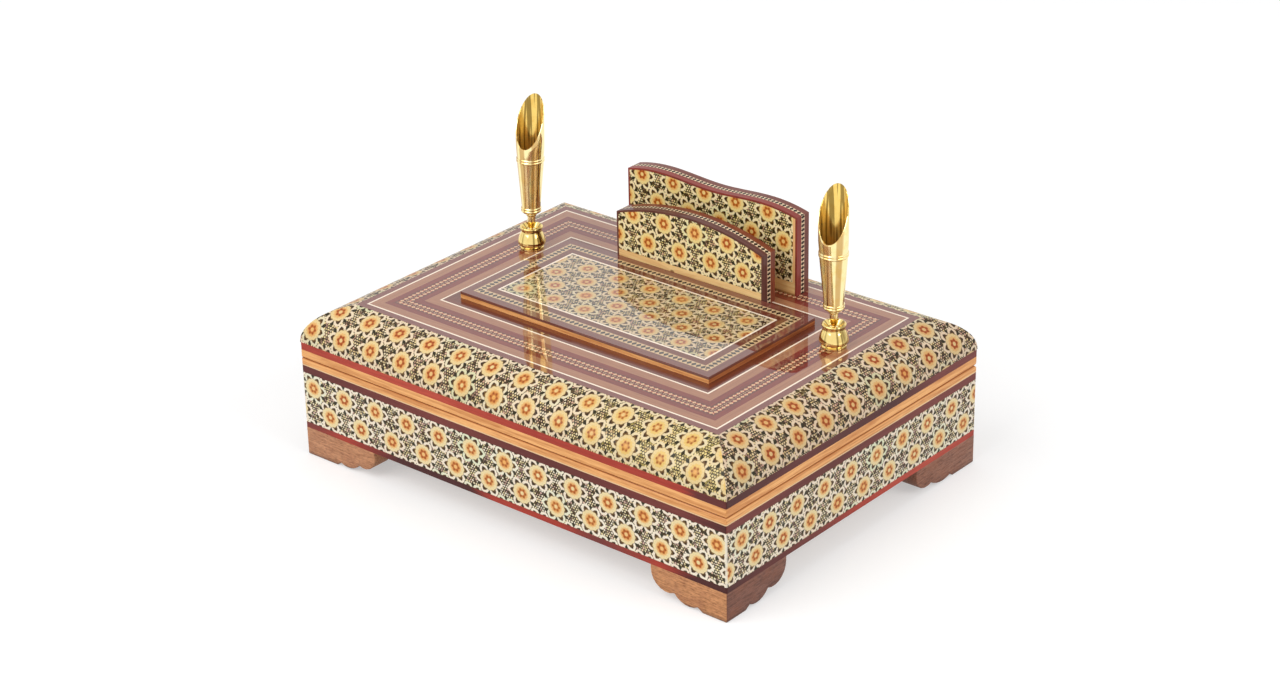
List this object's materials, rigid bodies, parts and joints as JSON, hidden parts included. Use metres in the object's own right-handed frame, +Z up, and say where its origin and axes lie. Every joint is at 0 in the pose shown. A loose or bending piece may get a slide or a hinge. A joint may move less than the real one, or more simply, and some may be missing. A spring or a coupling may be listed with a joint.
{
  "type": "pen_case",
  "caption": "Marquetry desk pen case on bracket feet: hinged lid with a raised panel, a card holder of upright plates and swivelling gilt pen funnels.",
  "frame": {"origin": "On the desk, under the middle of the case.", "axes": "X along the long side, front towards -Y, Z up."},
  "size_m": [0.25, 0.184, 0.151],
  "materials": {
    "khatam_marquetry": "gloss lacquer over star marquetry",
    "chain_marquetry": "gloss lacquer over a chain band",
    "purple_stripe": "gloss lacquer",
    "red_stripe": "gloss lacquer",
    "light_wood": "gloss lacquer over orange wood",
    "tan_veneer": "gloss lacquer",
    "white_line": "gloss lacquer over bone coloured stringing",
    "purple_field": "gloss lacquer",
    "walnut": "satin, turned and cut walnut",
    "core_board": "bare planed softwood",
    "gilt_brass": "polished gilt",
    "plain_brass": "satin",
    "lining": "dark red velvet"
  },
  "bodies": {
    "base": {"base_front_wall": "core_board", "base_back_wall": "core_board", "base_left_wall": "core_board", "base_right_wall": "core_board", "base_bottom_board": "core_board", "base_lip": "light_wood", "base_lining": "lining", "base_long_khatam": "khatam_marquetry", "base_short_khatam": "khatam_marquetry", "base_stripes": "purple_stripe", "base_rim": "light_wood", "foot_front_left": "walnut", "foot_front_right": "walnut", "foot_back_left": "walnut", "foot_back_right": "walnut", "hinge_base_leaves": "plain_brass", "hinge_base_screws": "plain_brass", "hinge_pins": "plain_brass"},
    "lid": {"lid_front_cove": "core_board", "lid_back_cove": "core_board", "lid_left_cove": "core_board", "lid_right_cove": "core_board", "hinge_lid_leaves": "plain_brass", "hinge_lid_screws": "plain_brass", "lid_long_khatam": "khatam_marquetry", "lid_short_khatam": "khatam_marquetry", "lid_lower_stripe": "purple_stripe", "lid_rim": "light_wood", "lid_top_board": "core_board", "lid_top_border": "purple_stripe", "lid_top_white_lines": "white_line", "lid_top_tan_bands": "tan_veneer", "lid_top_red_lines": "red_stripe", "lid_top_chain": "chain_marquetry", "lid_top_field": "purple_field", "lid_lining": "lining", "panel_board": "light_wood", "panel_border": "purple_stripe", "panel_chain": "chain_marquetry", "panel_inner_band": "purple_stripe", "panel_white_line": "white_line", "panel_khatam": "khatam_marquetry", "card_front_plate": "core_board", "card_back_plate": "core_board", "card_plate_khatam": "khatam_marquetry", "card_front_plate_edging": "purple_stripe", "card_back_plate_edging": "purple_stripe", "card_plate_edge_chains": "chain_marquetry", "card_plate_foot_strips": "light_wood", "card_plate_screws": "plain_brass", "left_pen_cup": "gilt_brass", "right_pen_cup": "gilt_brass", "pen_cup_nuts": "plain_brass"},
    "left_swivel": {"left_ball_seat": "plain_brass"},
    "left_holder": {"left_ball_stud": "gilt_brass", "left_funnel": "gilt_brass"},
    "right_swivel": {"right_ball_seat": "plain_brass"},
    "right_holder": {"right_ball_stud": "gilt_brass", "right_funnel": "gilt_brass"}
  },
  "joints": [
    {"name": "lid_hinge", "type": "hinge", "parent": "base", "child": "lid", "pos_m": [0, 0.0905, 0.05005], "axis": [-1, 0, 0], "range_deg": [0, 95]},
    {"name": "left_swivel", "type": "hinge", "parent": "lid", "child": "left_swivel", "pos_m": [-0.0856, 0.0252, 0.0829], "axis": [0, 0, 1], "continuous": true},
    {"name": "left_tilt", "type": "hinge", "parent": "left_swivel", "child": "left_holder", "pos_m": [-0.0856, 0.0252, 0.0829], "axis": [0.9659, 0.2588, 0], "range_deg": [-28, 28]},
    {"name": "right_swivel", "type": "hinge", "parent": "lid", "child": "right_swivel", "pos_m": [0.0931, 0.0252, 0.0829], "axis": [0, 0, 1], "continuous": true},
    {"name": "right_tilt", "type": "hinge", "parent": "right_swivel", "child": "right_holder", "pos_m": [0.0931, 0.0252, 0.0829], "axis": [0.9659, 0.2588, 0], "range_deg": [-28, 28]}
  ]
}
